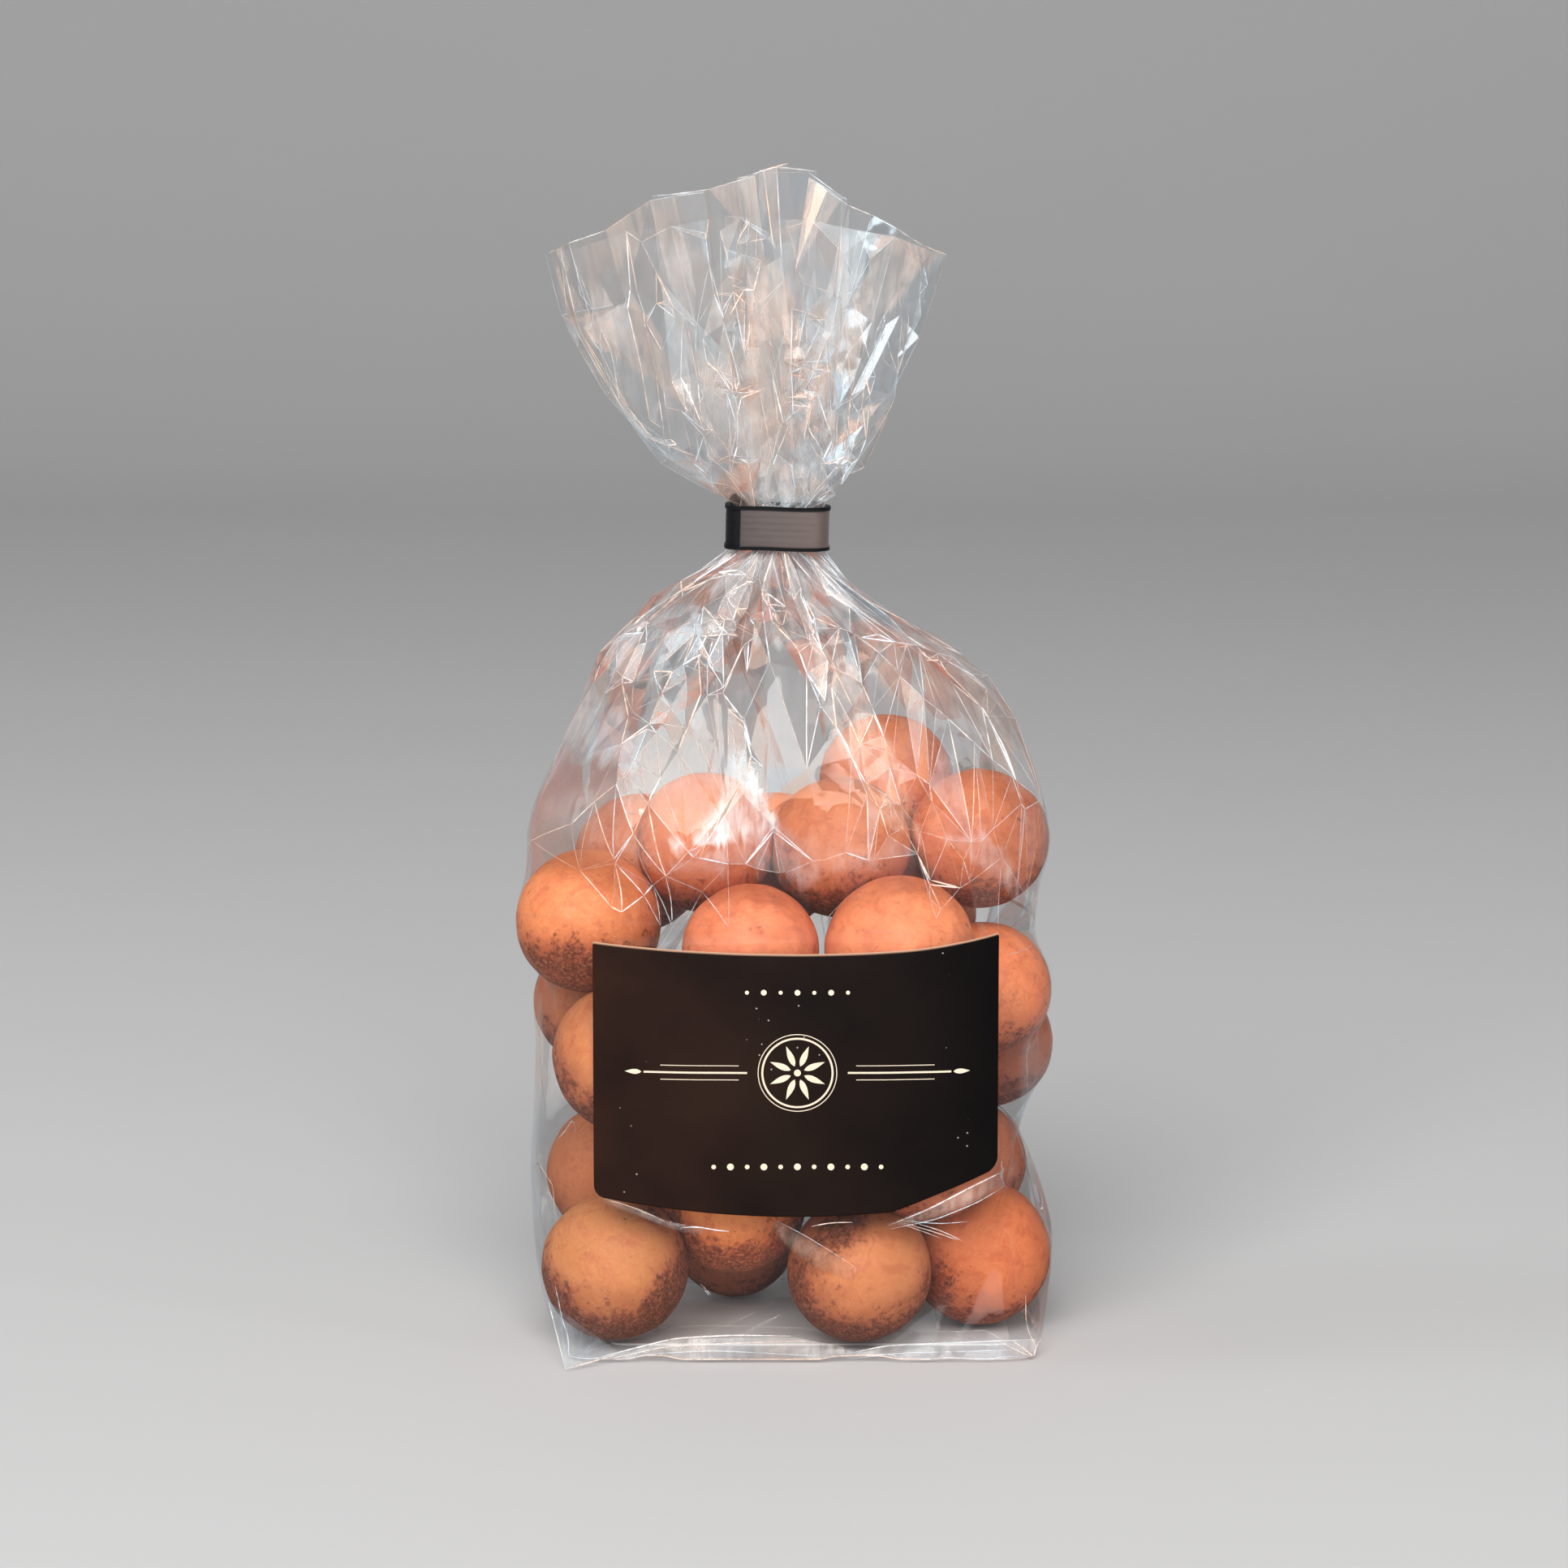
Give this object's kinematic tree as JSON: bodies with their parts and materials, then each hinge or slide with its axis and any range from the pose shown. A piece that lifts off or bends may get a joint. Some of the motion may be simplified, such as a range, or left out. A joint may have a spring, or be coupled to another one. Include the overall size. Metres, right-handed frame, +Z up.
{
  "type": "clear gift bag of marzipan potatoes",
  "caption": "Block-bottomed clear film bag filled with cocoa-dusted marzipan balls, gathered and closed by a flat band clip under a fanned film top.",
  "frame": {"origin": "under the middle of the whole bag, on the surface it stands on", "axes": "+Z up, along the bag; the front label looks along -Y; +X to the right of the label seen from the front"},
  "size_m": [0.1012, 0.0655, 0.2149],
  "materials": {
    "film": "clear crinkled cellulose film, glossy",
    "band": "fine satin weave over a bent metal strip",
    "dark_label": "satin coated paper, near black",
    "white_label": "matte coated paper, white",
    "marzipan": "matte marzipan rolled in cocoa and cinnamon",
    "print": "matte cream ink"
  },
  "bodies": {
    "root": {"bag": "film", "clip": "band", "front_label": "dark_label", "base_label": "white_label"}
  },
  "joints": []
}
